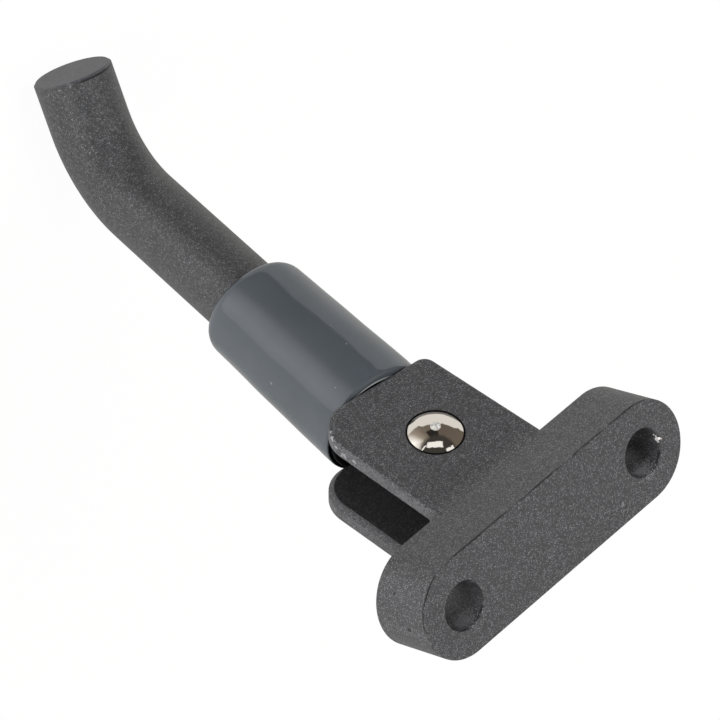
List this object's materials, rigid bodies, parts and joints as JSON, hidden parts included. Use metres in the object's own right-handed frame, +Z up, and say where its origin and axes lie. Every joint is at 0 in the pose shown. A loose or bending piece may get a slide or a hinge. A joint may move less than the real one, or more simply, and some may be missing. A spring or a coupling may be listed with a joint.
{
  "type": "electric scooter kickstand",
  "caption": "Folding side stand with an obround bolt-on plate, leaning clevis ears, a spring-held cam pivot inside a soft sleeve, and a round leg with a bent foot",
  "frame": {"origin": "centre of the flat mounting face, midway between the two bolt holes", "axes": "+X along the bolt row, towards the front of the scooter; +Y out to the side, the way the foot points; +Z up, out of the mounting face into the deck"},
  "size_m": [0.0534, 0.0595, 0.1001],
  "materials": {
    "bracket_coat": "dark grey powder coat with a fine metallic speckle over cast metal",
    "rivet_chrome": "bright nickel-chrome plating",
    "leg_coat": "dark grey powder coat with a fine metallic speckle over a steel bar",
    "ring_rubber": "moulded black rubber",
    "cup_steel": "drawn steel, oiled",
    "spring_steel": "spring steel wire, oiled",
    "sleeve_vinyl": "glossy soft blue-grey vinyl"
  },
  "bodies": {
    "bracket": {"mounting_bracket": "bracket_coat", "pivot_rivet": "rivet_chrome"},
    "leg": {"leg": "leg_coat", "sleeve": "sleeve_vinyl", "spring": "spring_steel"},
    "follower": {"spring_cup": "cup_steel", "cam_ring": "ring_rubber"}
  },
  "joints": [
    {"name": "leg_fold", "type": "hinge", "parent": "bracket", "child": "leg", "pos_m": [0, 0.00442, -0.0224], "axis": [0, 0.9184, 0.3955], "range_deg": [0, 98.4], "deforming": ["sleeve", "cam_ring"]},
    {"name": "cup_slide", "type": "slide", "parent": "leg", "child": "follower", "axis": [0.1461, 0.3913, -0.9086], "range_m": [0, 0.0027], "stiffness_N_per_m": 2000, "springref_m": -0.0005, "deforming": ["spring"]}
  ]
}
